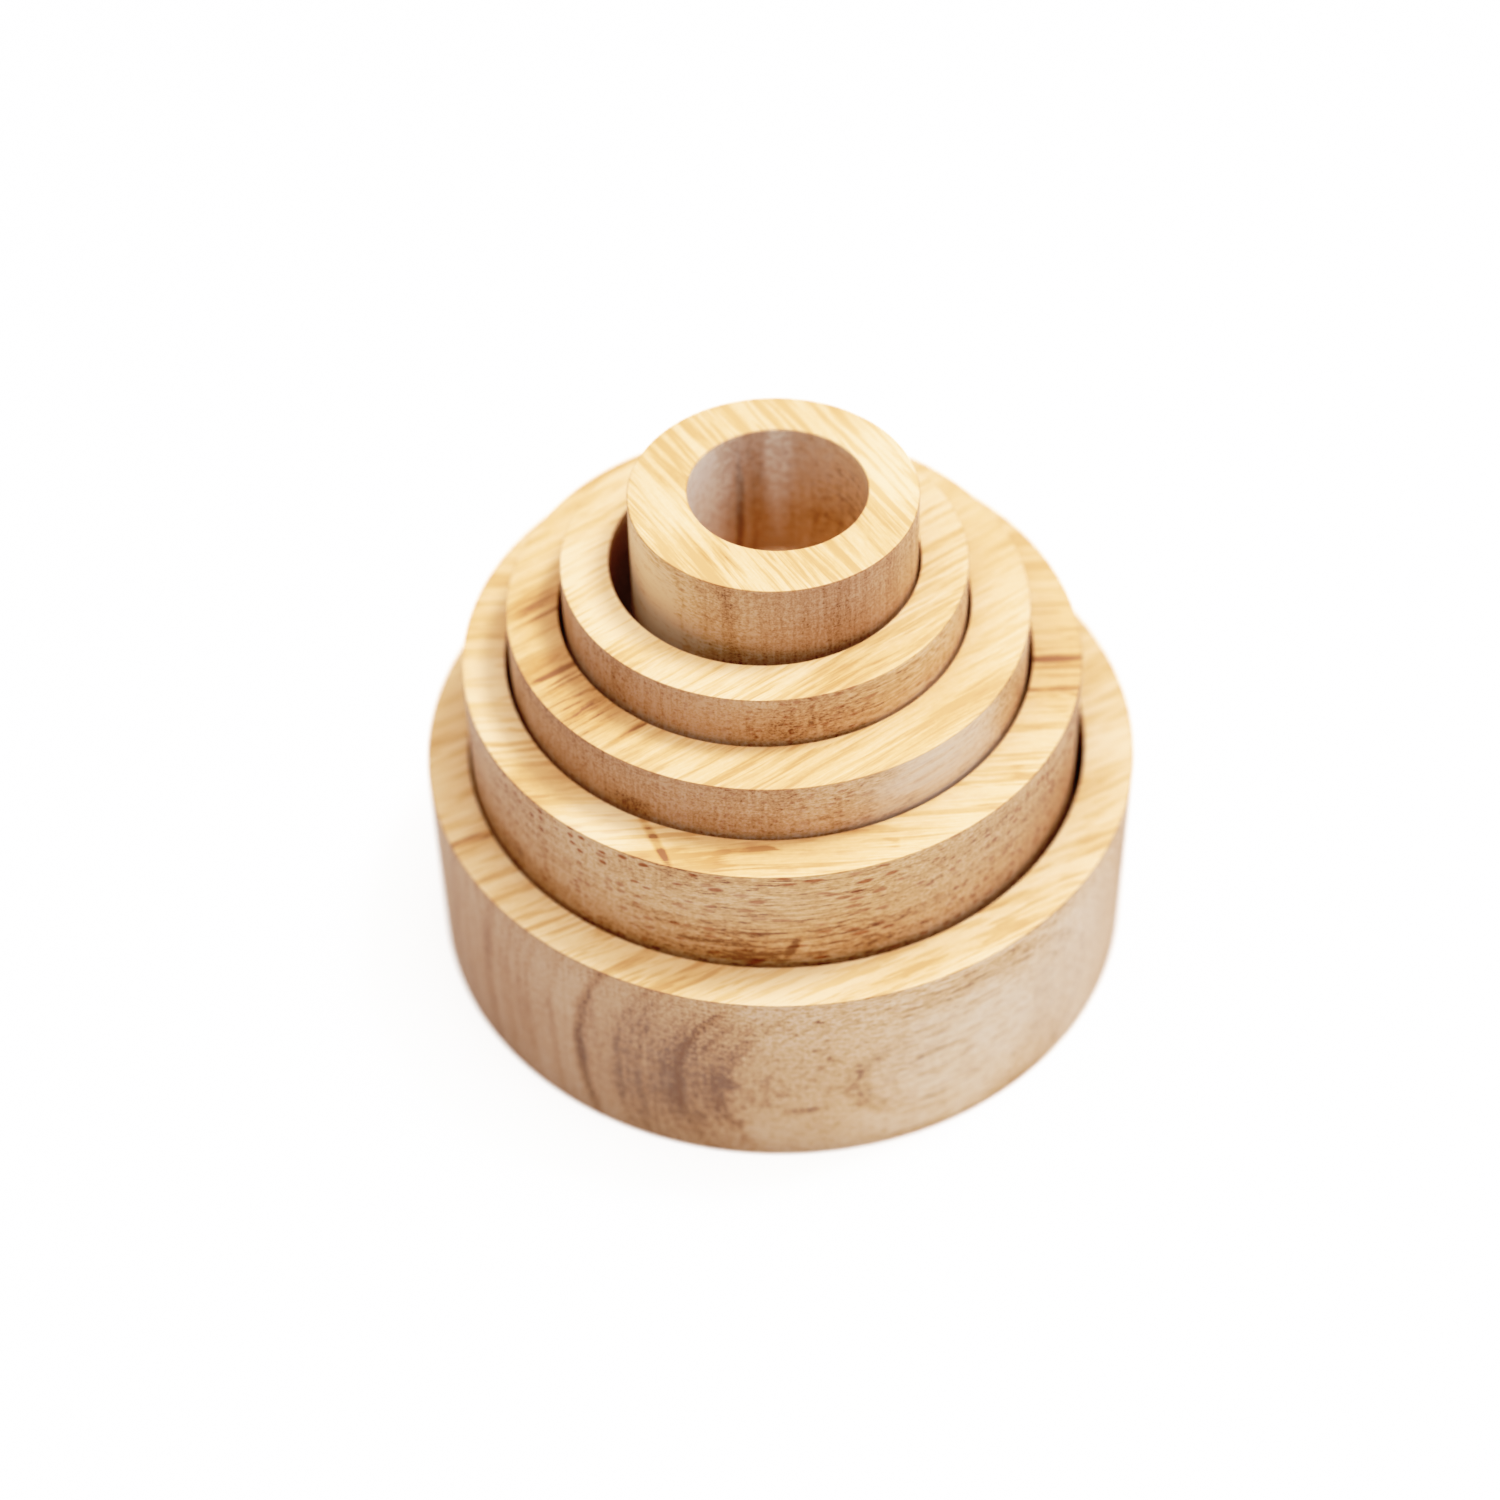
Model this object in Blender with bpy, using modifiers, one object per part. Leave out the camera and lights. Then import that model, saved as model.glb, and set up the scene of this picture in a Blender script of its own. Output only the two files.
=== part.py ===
"""A set of five turned wooden cups, nested one inside the next as a stepped round tower.

Metres, +Z up. The origin is at the centre of the largest cup's underside.
Each cup stands on the floor of the next larger one and lifts straight up out of it.
"""

import math
from collections import namedtuple

import bpy

# The blanks are sawn from one board, so every cup has the same height.
CUP_HEIGHT = 0.0386
# A nested cup stands this far above the floor it rests on.
REST_GAP = 0.0003
# Lightly sanded edges: the chamfer at the rim and at the foot.
EDGE_EASE = 0.0005
# Narrow chamfer left by the gouge where the bore meets its floor, small enough to clear the foot above.
FLOOR_CHAMFER = 0.0005
# Facets round a full turn.
SEGMENTS = 64
# The bore cutter runs this far above the rim.
CUTTER_OVERRUN = 0.004

COLLECTION = "nesting_cups"
CUTTERS = "nesting_cups_cutters"

# outer, bore: radii. floor: thickness under the bore.
# seat: the cup's axis from the axis of the bore that holds it, since the cups sit a little loose.
# run_out: the bore's axis from the cup's own axis, because each bore was turned in a second chucking.
# colour: linear red, green and blue of the wood.
Cup = namedtuple("Cup", "name outer bore floor seat run_out colour roughness")

CUPS = (
    Cup(
        name="largest_cup",
        outer=0.0600,
        bore=0.0522,
        floor=0.0200,
        seat=(0.0, 0.0),
        run_out=(-0.0007, 0.00035),
        colour=(0.68, 0.47, 0.31),
        roughness=0.62,
    ),
    Cup(
        name="large_cup",
        outer=0.0513,
        bore=0.04355,
        floor=0.0104,
        seat=(-0.0005, -0.00015),
        run_out=(-0.0005, 0.0004),
        colour=(0.64, 0.42, 0.25),
        roughness=0.60,
    ),
    Cup(
        name="middle_cup",
        outer=0.0428,
        bore=0.03365,
        floor=0.0090,
        seat=(0.0, -0.0003),
        run_out=(-0.0006, 0.00035),
        colour=(0.69, 0.46, 0.29),
        roughness=0.60,
    ),
    Cup(
        name="small_cup",
        outer=0.0330,
        bore=0.0251,
        floor=0.0134,
        seat=(0.0001, -0.00015),
        run_out=(0.0001, 0.00015),
        colour=(0.66, 0.43, 0.27),
        roughness=0.58,
    ),
    Cup(
        name="smallest_cup",
        outer=0.0232,
        bore=0.0143,
        floor=0.0126,
        seat=(0.0015, -0.00005),
        run_out=(0.0007, 0.0006),
        colour=(0.63, 0.40, 0.24),
        roughness=0.58,
    ),
)


def clear_scene():
    for item in list(bpy.data.objects):
        bpy.data.objects.remove(item)


def new_collection(name):
    collection = bpy.data.collections.new(name)
    bpy.context.scene.collection.children.link(collection)
    return collection


def wood(cup):
    material = bpy.data.materials.new(cup.name + "_wood")
    material.use_nodes = True
    shader = material.node_tree.nodes["Principled BSDF"]
    shader.inputs["Base Color"].default_value = (*cup.colour, 1.0)
    shader.inputs["Roughness"].default_value = cup.roughness
    shader.inputs["Metallic"].default_value = 0.0
    return material


def turned(name, profile, collection):
    """A body of revolution about the object's own Z axis, from an outline that runs top to bottom."""
    mesh = bpy.data.meshes.new(name)
    outline = [(radius, 0.0, height) for radius, height in profile]
    edges = [(i, i + 1) for i in range(len(outline) - 1)]
    mesh.from_pydata(outline, edges, [])
    body = bpy.data.objects.new(name, mesh)
    collection.objects.link(body)
    screw = body.modifiers.new("turning", "SCREW")
    screw.axis = "Z"
    screw.angle = 2.0 * math.pi
    screw.steps = SEGMENTS
    screw.render_steps = SEGMENTS
    screw.use_merge_vertices = True
    screw.merge_threshold = 0.00001
    return body


def blank_profile(cup):
    """Half section of the solid blank: the rim's plane, the straight wall, the foot."""
    inset = cup.outer - EDGE_EASE
    return [
        (0.0, CUP_HEIGHT),
        (inset, CUP_HEIGHT),
        (cup.outer, CUP_HEIGHT - EDGE_EASE),
        (cup.outer, EDGE_EASE),
        (inset, 0.0),
        (0.0, 0.0),
    ]


def bore_profile(cup):
    """Half section of the hollow: it flares to the eased rim, and ends in a flat floor."""
    above = CUP_HEIGHT + CUTTER_OVERRUN
    below_rim = CUP_HEIGHT - EDGE_EASE
    corner = cup.bore - FLOOR_CHAMFER
    return [
        (0.0, above),
        (cup.bore + EDGE_EASE + CUTTER_OVERRUN, above),
        (cup.bore, below_rim),
        (cup.bore, cup.floor + FLOOR_CHAMFER),
        (corner, cup.floor),
        (0.0, cup.floor),
    ]


def shade_round(body):
    """Smooth walls with crisp rims."""
    mesh = body.data
    mesh.shade_smooth()
    mesh.set_sharp_from_angle(angle=math.radians(30.0))


def apply_modifiers(body):
    """Keeps the evaluated shape as the object's own mesh."""
    graph = bpy.context.evaluated_depsgraph_get()
    mesh = bpy.data.meshes.new_from_object(body.evaluated_get(graph))
    body.modifiers.clear()
    body.data = mesh


def make_cup(cup, parts, cutters):
    """One cup: a turned blank less its turned bore, with its origin under the centre of its foot."""
    body = turned(cup.name, blank_profile(cup), parts)
    cutter = turned(cup.name + "_bore", bore_profile(cup), cutters)
    cutter.location = (*cup.run_out, 0.0)
    cutter.parent = body
    cutter.hide_render = True
    cutter.display_type = "WIRE"
    cut = body.modifiers.new("bore", "BOOLEAN")
    cut.operation = "DIFFERENCE"
    cut.solver = "EXACT"
    cut.object = cutter
    bpy.context.view_layer.update()
    apply_modifiers(body)
    body.data.materials.clear()
    body.data.materials.append(wood(cup))
    shade_round(body)
    return body


def nest(body, cup, holder_body, holder):
    """Seats a cup in the bore of the next larger one, on its floor."""
    body.parent = holder_body
    x = holder.run_out[0] + cup.seat[0]
    y = holder.run_out[1] + cup.seat[1]
    body.location = (x, y, holder.floor + REST_GAP)


def main():
    clear_scene()
    parts = new_collection(COLLECTION)
    cutters = new_collection(CUTTERS)
    bodies = [make_cup(cup, parts, cutters) for cup in CUPS]
    for index in range(1, len(CUPS)):
        nest(bodies[index], CUPS[index], bodies[index - 1], CUPS[index - 1])
    bpy.context.view_layer.update()


main()
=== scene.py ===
"""The looks of five nesting cups, turned from pale rubberwood and lit from above on a white table.

Each cup is measured from its CAD node and turned again as a fine mesh, with rolled edges and the
slight waviness of hand sanding. Its wood is one solid block of grain: fibres and growth rings run
through rim, wall and bore alike, so every face shows the cut that it would show on a real blank.

The mesh is in metres. The wood is described in millimetres, in the blank's own grain frame:
X along the fibre, Y across it and level, Z up from the cup's foot.
"""

import math
from collections import namedtuple

import bpy
from mathutils import Matrix, Vector, noise


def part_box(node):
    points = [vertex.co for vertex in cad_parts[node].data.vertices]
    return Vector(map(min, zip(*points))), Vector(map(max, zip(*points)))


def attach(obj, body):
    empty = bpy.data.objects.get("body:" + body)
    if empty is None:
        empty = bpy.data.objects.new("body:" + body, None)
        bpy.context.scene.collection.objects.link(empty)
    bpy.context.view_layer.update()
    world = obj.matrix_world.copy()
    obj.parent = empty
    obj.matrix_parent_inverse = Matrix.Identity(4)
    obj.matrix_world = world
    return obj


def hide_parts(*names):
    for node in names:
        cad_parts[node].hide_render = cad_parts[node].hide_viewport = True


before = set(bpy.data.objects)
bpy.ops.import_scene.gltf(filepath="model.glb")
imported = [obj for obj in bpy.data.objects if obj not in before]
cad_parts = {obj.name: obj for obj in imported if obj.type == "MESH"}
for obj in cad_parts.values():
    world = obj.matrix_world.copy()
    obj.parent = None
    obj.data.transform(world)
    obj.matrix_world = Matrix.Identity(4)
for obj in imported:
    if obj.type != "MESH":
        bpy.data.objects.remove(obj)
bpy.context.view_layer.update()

MM = 0.001

# --- The turned meshes -------------------------------------------------------------------------

# Facets round a full turn, and steps along each stretch of the half section.
SEGMENTS = 256
ARC_STEPS = 5
WALL_STEPS = 12
RIM_STEPS = 4
DISC_STEPS = 9
# Radius of the sanded edges, and how much it varies round the rim.
EDGE_RADIUS = 0.35 * MM
EDGE_VARIATION = 0.35
# Radius left by the gouge where the bore meets its floor.
CORNER_RADIUS = 0.5 * MM
# Waves of that variation in one turn, as the size of the circle that the noise is read on.
EDGE_WAVES = 3.0
# Hand sanding leaves the walls up to this much inside the true cylinder, in broad waves: their size
# round the wall, and their height on the outside and in the bore.
SANDING_DEPTH = 0.09 * MM
SANDING_WAVES = 1.6
OUTER_WAVE_HEIGHT = 14 * MM
BORE_WAVE_HEIGHT = 11 * MM
# Rings left by the gouge on the flat faces: height and spacing.
TOOL_DEPTH = 0.02 * MM
TOOL_PITCH = 1.7 * MM
# Added to a wood's seed, so that its bore, its edges and its grain don't wave alike.
BORE_SEED = 7
EDGE_SEED = 3
WANDER_SEED = 5
# Vertices of the CAD solid this far inside its skin belong to the hollow.
HOLLOW_INSET = 2.0 * MM
# Within this, two radii or heights count as the same.
TINY = 0.1 * MM

Measures = namedtuple("Measures", "axis outer base rim bore_axis bore floor")

# --- The wood ----------------------------------------------------------------------------------

# A dark growth line: its distance from the pith, its width and how strong it is from 0 to 1.
Line = namedtuple("Line", "distance width strength")
# A local mark in the grain frame: centre, half sizes, strength (below zero for a pale one), and its
# turn in plan and lean from upright, in degrees.
Mark = namedtuple("Mark", "place reach strength turn lean", defaults=(0.0, 0.0))
# heading: direction of the fibre in plan, in degrees from +X.
# pith: the growth rings' centre, across the fibre and above the foot. wander: how far they stray.
# tone: 0 for a pale blank, 1 for a brown one. pale_sides: how much a painted sheen pales the long
# grain on a wall.
# streaks, rings (on the walls), grit, pores: how strongly each shows.
# pore_width: the spacing of the pores across the fibre. pore_length: as a multiple of that.
# streak_length: how far a dark streak runs along the fibre.
# burnish: how much painted shade darkens the bore. burnish_depth: how far down it is darkest.
# seed: sets this blank's noises apart from the others'. lines, marks: what is drawn one by one.
# chalky, bore_chalky: pale marks of painted sheen on the outer wall, and of painted light and sheen
# in the bore.
Wood = namedtuple(
    "Wood",
    "heading pith wander tone pale_sides streaks rings grit pores pore_width pore_length "
    "streak_length burnish burnish_depth seed lines marks chalky bore_chalky",
    defaults=((),),
)

WOODS = {
    "largest_cup": Wood(
        heading=27.0,
        pith=(-80.0, 17.0),
        wander=1.5,
        tone=0.15,
        pale_sides=0.9,
        streaks=0.9,
        rings=0.6,
        grit=0.52,
        pores=0.30,
        pore_width=1.0,
        pore_length=5.0,
        streak_length=8.0,
        burnish=0.60,
        burnish_depth=2.5,
        seed=3.0,
        lines=(
            Line(36.8, 1.2, 0.40),
            Line(51.0, 1.6, 0.60),
            Line(61.5, 1.4, 0.40),
            Line(71.6, 2.2, 0.35),
            Line(78.5, 2.4, 0.40),
        ),
        marks=(
            # Flecks on the front wall.
            Mark((-34.8, -48.8, 18.0), (2.0, 7.0, 2.4), 0.40),
            Mark((-27.2, -53.5, 16.0), (2.4, 7.0, 1.0), 0.35),
            Mark((-24.5, -54.8, 11.5), (4.5, 7.0, 1.2), 0.50),
            Mark((-33.5, -49.8, 8.0), (2.0, 7.0, 1.2), 0.30),
            # Pale wood at the front of the rim, a browner side, and two bands on the left of the rim.
            Mark((-24.0, -50.0, 38.6), (28.0, 9.0, 6.0), -0.30),
            Mark((-42.0, -40.0, 18.0), (26.0, 20.0, 26.0), 0.50),
            Mark((-22.0, -56.0, 16.0), (18.0, 12.0, 22.0), 0.18),
            Mark((-56.0, -19.6, 18.0), (12.0, 10.0, 24.0), 0.06),
            Mark((-56.0, 2.0, 38.6), (8.0, 1.6, 8.0), 0.40),
            Mark((-56.0, -7.0, 38.6), (8.0, 1.4, 8.0), 0.40),
            Mark((47.0, -28.5, 38.6), (10.0, 12.0, 6.0), -0.22),
        ),
        # Painted sheen where the lights shine on the wall.
        chalky=(
            Mark((3.0, -60.0, 20.0), (26.0, 9.0, 20.0), 0.30),
            Mark((-27.0, -53.0, 20.0), (16.0, 10.0, 22.0), 0.05),
            Mark((24.0, -52.0, 20.0), (20.0, 14.0, 26.0), 0.42),
            Mark((-46.0, -34.0, 20.0), (30.0, 30.0, 26.0), 0.12),
        ),
    ),
    "large_cup": Wood(
        heading=4.0,
        pith=(-30.0, -60.0),
        wander=3.0,
        tone=0.40,
        pale_sides=0.3,
        streaks=0.85,
        rings=0.70,
        grit=0.50,
        pores=1.0,
        pore_width=1.35,
        pore_length=4.0,
        streak_length=24.0,
        burnish=0.60,
        burnish_depth=2.5,
        seed=11.0,
        lines=(),
        marks=(
            # The seam on the rim, with orange wood on its right and pale wood on its left.
            Mark((-21.5, -41.8, 38.6), (1.1, 9.0, 12.0), 0.46, turn=20.0),
            Mark((-2.0, -44.0, 38.6), (22.0, 9.0, 6.0), 0.26),
            Mark((-31.5, -37.5, 38.6), (11.0, 9.0, 6.0), -0.45),
            Mark((-46.0, -8.0, 38.6), (9.0, 16.0, 6.0), -0.30),
            # Dark lines on the right of the rim.
            Mark((48.0, -9.0, 38.6), (11.0, 22.0, 6.0), 0.24),
            Mark((46.0, -7.0, 38.6), (10.0, 1.2, 6.0), 0.42),
            Mark((45.0, -14.0, 38.6), (10.0, 1.2, 6.0), 0.42),
            Mark((41.0, -22.0, 38.6), (9.0, 1.1, 6.0), 0.36),
            # The dark heartwood low on the front wall, and the small knot where it ends.
            Mark((-24.0, -46.0, 14.0), (34.0, 30.0, 10.5), 0.42),
            Mark((-44.0, -24.0, 28.0), (16.0, 20.0, 20.0), 0.12),
            Mark((40.0, -32.0, 24.0), (20.0, 22.0, 24.0), 0.14),
            Mark((-0.8, -51.0, 21.8), (1.1, 9.0, 3.8), 0.62, lean=-24.0),
            Mark((1.2, -51.0, 22.0), (1.3, 9.0, 2.4), -0.30, lean=-24.0),
            Mark((-8.5, -51.0, 20.2), (9.0, 9.0, 2.2), 0.42),
            Mark((-16.0, -51.0, 22.6), (12.0, 9.0, 0.9), 0.35, lean=4.0),
            # A browner front wall.
            Mark((4.0, -54.0, 26.0), (34.0, 14.0, 16.0), 0.24),
            # Painted shade: darker all round towards the foot, from nothing at the rim to full where
            # the wall sinks into the largest cup.
            Mark((0.0, 0.0, 18.0), (90.0, 90.0, 20.0), 0.16),
        ),
        # Painted sheen where the lights shine on the wall.
        chalky=(
            Mark((32.0, -41.0, 24.0), (30.0, 22.0, 22.0), 0.14),
            Mark((-8.0, -51.0, 32.0), (20.0, 9.0, 9.0), 0.12),
        ),
    ),
    "middle_cup": Wood(
        heading=37.0,
        pith=(-150.0, 10.0),
        wander=2.0,
        tone=0.64,
        pale_sides=1.0,
        streaks=0.55,
        rings=0.3,
        grit=0.55,
        pores=0.5,
        pore_width=1.0,
        pore_length=5.0,
        streak_length=18.0,
        burnish=0.60,
        burnish_depth=2.5,
        seed=23.0,
        lines=(),
        marks=(
            Mark((-37.0, 7.4, 38.6), (9.0, 1.0, 8.0), 0.42),
            Mark((-35.0, -10.8, 38.6), (9.0, 1.0, 8.0), 0.38, turn=4.0),
            Mark((-36.0, 0.0, 38.6), (12.0, 18.0, 8.0), 0.38),
            Mark((-24.0, -30.0, 38.6), (22.0, 14.0, 6.0), 0.10),
            Mark((28.0, -30.0, 38.6), (16.0, 14.0, 6.0), -0.20),
            Mark((-30.0, 20.0, 38.6), (9.0, 8.0, 8.0), 0.34),
            # A browner left wall, with a red patch low on it.
            Mark((-38.0, -4.0, 22.0), (14.0, 22.0, 22.0), 0.16),
            Mark((-38.0, -15.0, 29.5), (4.0, 6.0, 3.0), 0.55, lean=-20.0),
        ),
        # Painted sheen on the right of the wall, where the light shines on it.
        chalky=(
            Mark((2.0, -43.0, 28.0), (22.0, 9.0, 28.0), 0.80),
        ),
    ),
    "small_cup": Wood(
        heading=38.0,
        pith=(-150.0, 0.0),
        wander=2.0,
        tone=0.05,
        pale_sides=0.7,
        streaks=0.75,
        rings=0.35,
        grit=0.50,
        pores=0.6,
        pore_width=1.0,
        pore_length=4.0,
        streak_length=14.0,
        burnish=0.60,
        burnish_depth=2.5,
        seed=37.0,
        lines=(),
        marks=(
            Mark((20.0, -22.0, 38.6), (10.0, 8.0, 8.0), -0.04),
            Mark((-16.0, -30.0, 20.0), (34.0, 16.0, 34.0), 0.30),
            Mark((-26.0, 4.0, 38.6), (8.0, 14.0, 6.0), -0.30),
            Mark((-23.0, 17.0, 38.6), (12.0, 10.0, 6.0), -0.24),
            Mark((-18.0, -23.0, 38.6), (14.0, 10.0, 5.0), -0.16),
        ),
        chalky=(),
    ),
    "smallest_cup": Wood(
        heading=-59.0,
        pith=(-150.0, 20.0),
        wander=1.5,
        tone=0.42,
        pale_sides=0.1,
        streaks=0.9,
        rings=0.55,
        grit=0.6,
        pores=0.15,
        pore_width=1.0,
        pore_length=5.0,
        streak_length=24.0,
        burnish=0.14,
        burnish_depth=20.0,
        seed=53.0,
        lines=(),
        marks=(
            Mark((9.0, -14.0, 38.6), (8.0, 0.7, 8.0), 0.38),
            Mark((4.0, -16.5, 38.6), (9.0, 0.8, 8.0), 0.25),
            Mark((-10.0, -17.0, 38.6), (10.0, 8.0, 5.0), 0.10),
            Mark((4.0, 19.0, 38.6), (18.0, 12.0, 5.0), -0.26),
            Mark((-17.0, 9.0, 38.6), (12.0, 14.0, 5.0), -0.06),
            # In the bore: a dark streak down the back wall, and painted shade on the right side,
            # which the window leaves unlit.
            Mark((-14.4, 2.2, 24.0), (3.0, 1.2, 17.0), 0.85),
            Mark((0.0, 14.5, 20.0), (16.0, 8.0, 24.0), 0.38),
            # A left wall painted paler, as painted light, and painted redder towards the foot, as
            # painted shade with warm bounce light.
            Mark((-6.0, -22.0, 27.0), (28.0, 16.0, 16.0), -0.38),
            Mark((16.0, -8.0, 11.0), (20.0, 30.0, 21.0), 0.42),
        ),
        chalky=(),
        # Painted light and sheen on the left of the bore, where the window shines in.
        bore_chalky=(
            Mark((-12.0, -8.0, 30.0), (20.0, 13.0, 30.0), 1.20),
            Mark((-12.5, 8.3, 32.0), (9.0, 3.0, 18.0), 0.70),
            Mark((-10.0, 6.0, 36.0), (24.0, 22.0, 17.0), 0.42),
        ),
    ),
}

# Linear colours of the wood, from the palest early wood to the darkest line.
CREAM = (0.82, 0.572, 0.355)
STRAW = (0.72, 0.43, 0.213)
AMBER = (0.52, 0.25, 0.09)
UMBER = (0.28, 0.11, 0.04)
# Painted sheen and painted light: pale, greyish colours laid where light shines on the outer walls
# and into the bore.
PAINTED_SHEEN = (0.74, 0.62, 0.53)
BORE_PAINTED_SHEEN = (0.82, 0.75, 0.69)
# How open pores and fibre ends tint the wood round them, and how the rolled edges are darkened.
PORE_TINT = (0.60, 0.33, 0.19)
END_TINT = (0.64, 0.56, 0.58)
EDGE_TINT = (0.86, 0.69, 0.50)
# Side cuts of the long grain are painted paler and pinker than the flat rims: a painted sheen of the
# long fibres.
SIDE_SHEEN_TINT = (0.98, 1.06, 1.30)
# The colour of the painted shade inside a bore.
BORE_SHADE_TINT = (0.42, 0.30, 0.22)

# --- The patterns in the wood ------------------------------------------------------------------

# The ramp for marked growth lines runs this far from the pith, in millimetres.
RING_SPAN = 200.0
# A growth line's inner and outer flank, as multiples of its width.
LINE_RISE = 0.35
LINE_FALL = 0.8
# Where the ramp from cream to umber reaches straw and amber.
STRAW_AT = 0.40
AMBER_AT = 0.85

# Lengths over which a pattern changes, in millimetres: along the fibre, across it and up.
STRAY_SIZE = (16.0, 5.0, 5.0)
WANDER_SIZE = (90.0, 30.0, 30.0)
FADE_SIZE = (25.0, 9.0, 9.0)
PATCH_SIZE = (40.0, 20.0, 20.0)
FIBRE_SIZE = (5.0, 0.3, 0.3)
GRIT_SIZE = (1.1, 0.7, 0.7)
SCORE_SIZE = (14.0, 14.0, 0.4)
RAY_SIZE = (0.6, 0.6, 12.0)
STREAK_WIDTH = 0.9
# Detail and roughness of those noises that aren't plain.
STREAK_NOISE = (1.5, 0.5)
FIBRE_NOISE = (2.0, 0.6)
GRIT_NOISE = (3.0, 0.7)
SCORE_NOISE = (1.5, 0.6)
RAY_NOISE = (2.0, 0.6)
# How far the grain strays from its straight course over STRAY_SIZE.
STRAY = 0.45
# Growth rings: their pitch, and how far they run alike along the fibre. Across it they change
# faster, by RINGS_ACROSS.
BAND_RINGS = (5.5, 70.0)
LINE_RINGS = (1.6, 26.0)
THREAD_RINGS = (0.8, 22.0)
RINGS_ACROSS = 1.5

# A pattern rises from nothing to full between two values of its noise.
BAND_EDGE = (0.42, 0.70)
LINE_EDGE = (0.50, 0.64)
DASH_EDGE = (0.50, 0.66)
THREAD_EDGE = (0.40, 0.60)
PATCH_EDGE = (0.35, 0.68)
FADE_EDGE = (0.30, 0.62)
PAINTED_SHEEN_EDGE = (0.35, 0.62)
CROWD_EDGE = (0.30, 0.60)
SHINE_EDGE = (0.30, 0.70)
# The same for the strength of a marked line, which hides the painted sheen of the walls and of the
# long grain.
MARKED_EDGE = (0.0, 0.4)
# Half width of a thread, in values of its noise.
THREAD_WIDTH = 0.05
# Cells of the pore pattern: how far a pore reaches from its cell's middle, and which cells have one.
PORE_EDGE = (0.20, 0.42)
PORE_CHANCE = (0.20, 0.50)
# A mark is at full strength up to this share of its reach.
MARK_CORE = 0.25
# The skin counts as a rim below the first share of a wall, and as a wall above the second.
WALL_EDGE = (0.2, 0.8)
# Past the bore's radius, in millimetres: where its own looks end.
BORE_EDGE = (0.2, 0.8)
# The painted shade in a bore starts this far below the rim, in millimetres.
BORE_SHADE_START = 0.3
# How fast the looks of fibre ends and of long grain fall away as the wall turns.
ENDS_SHARPNESS = 1.3
SIDES_SHARPNESS = 3.0

# How much each pattern darkens the wood. Where there are two values, the first is for the rims and
# the second for the walls.
BAND_DARKNESS = 0.22
LINE_DARKNESS = 0.38
DASH_DARKNESS = 0.40
THREAD_DARKNESS = 0.50
PATCH_DARKNESS = 0.16
FUZZ_DARKNESS = (0.55, 1.55)
GRIT_DARKNESS = 2.4
GRIT_SHOWN = (0.25, 1.0)
GRIT_MIDDLE = 0.46
SCORE_DARKNESS = 0.60
RAY_DARKNESS = 1.10
TONE_DARKNESS = 0.25
DARKEST = (0.66, 1.0)
# How much of the dashes is lost on the fibre ends.
ENDS_HIDE = 0.9
# What is left of a growth line where it fades, and of the painted sheen over dark streaks and marked
# lines.
FADE_LEAST = 0.45
PAINTED_SHEEN_ON_STREAKS = 0.55
PAINTED_SHEEN_ON_LINES = 0.3
# What is left of the pores outside their crowds, and on the rims.
PORES_ALONE = 0.45
PORES_SHOWN = (0.25, 1.0)
# The edge tint's strength, against the share of a wall in the skin.
EDGE_STRENGTH = 3.0

# The finish: roughness of the smoothest and the roughest fibres, and what a pore adds to it.
SHINE = (0.42, 0.55)
PORE_ROUGHNESS = 0.2
SPECULAR = 0.5
# Relief of the skin, against the depth of a pore: fibres stand up and streaks lie a little low.
FIBRE_HEIGHT = 0.25
STREAK_DEPTH = 0.15
RELIEF_STRENGTH = 0.35
RELIEF_DEPTH = 0.12 * MM

# --- Table, light and camera -------------------------------------------------------------------

TABLE_HALF = 4.0
# The table is lit well past white, and so loses all but its contact shadow.
TABLE_COLOUR = (0.75, 0.75, 0.75)
TABLE_GLOW = 0.90
TABLE_ROUGHNESS = 0.9
TABLE_SPECULAR = 0.1
# The table lies this far below the largest cup's foot.
TABLE_DROP = 0.02 * MM
# Far from the cups it is as white as the room behind it, so that no horizon shows: from how far, in
# metres, and from where in full.
FAR_GLOW = 2.0
FAR_FROM = 0.45
FAR_FULL = 1.5
# What the lights at the sides point at.
LIT_PLACE = (0.0, 0.0, 0.030)
# A broad softbox straight above.
TOP_HEIGHT = 0.95
TOP_SIZE = 1.2
TOP_POWER = 13.2
TOP_COLOUR = (1.0, 0.97, 0.93)
# The window: where it is in plan from +X, how high, in degrees, and how large and strong.
KEY_HEADING = 28.0
KEY_HEIGHT = 67.0
KEY_DISTANCE = 1.0
KEY_SIZE = 0.20
KEY_POWER = 6.5
KEY_COLOUR = (0.93, 0.98, 1.0)
# A weak light from the front right, which only the walls notice.
SIDE_HEADING = -35.0
SIDE_HEIGHT = 15.0
SIDE_DISTANCE = 1.0
SIDE_SIZE = 0.6
SIDE_POWER = 3.2
SIDE_COLOUR = (0.92, 0.97, 1.0)
# A weak light from the left, for the sides that the window leaves dark.
LEFT_HEADING = 195.0
LEFT_HEIGHT = 40.0
LEFT_DISTANCE = 1.0
LEFT_SIZE = 0.8
LEFT_POWER = 2.0
LEFT_COLOUR = (1.0, 0.98, 0.95)
# The room gives little light, but is white to look at.
ROOM_LIGHT = 0.15
ROOM_SEEN = 2.0
# The film's response, as (light in, light out): deep blacks, and a long shoulder that keeps detail
# in bright wood.
RESPONSE = (
    (0.0, 0.0),
    (0.025, 0.006),
    (0.06, 0.035),
    (0.12, 0.10),
    (0.25, 0.24),
    (0.45, 0.45),
    (0.70, 0.645),
    (0.90, 0.755),
    (1.15, 0.86),
    (1.45, 0.945),
    (1.80, 0.99),
    (2.40, 1.0),
)
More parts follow.
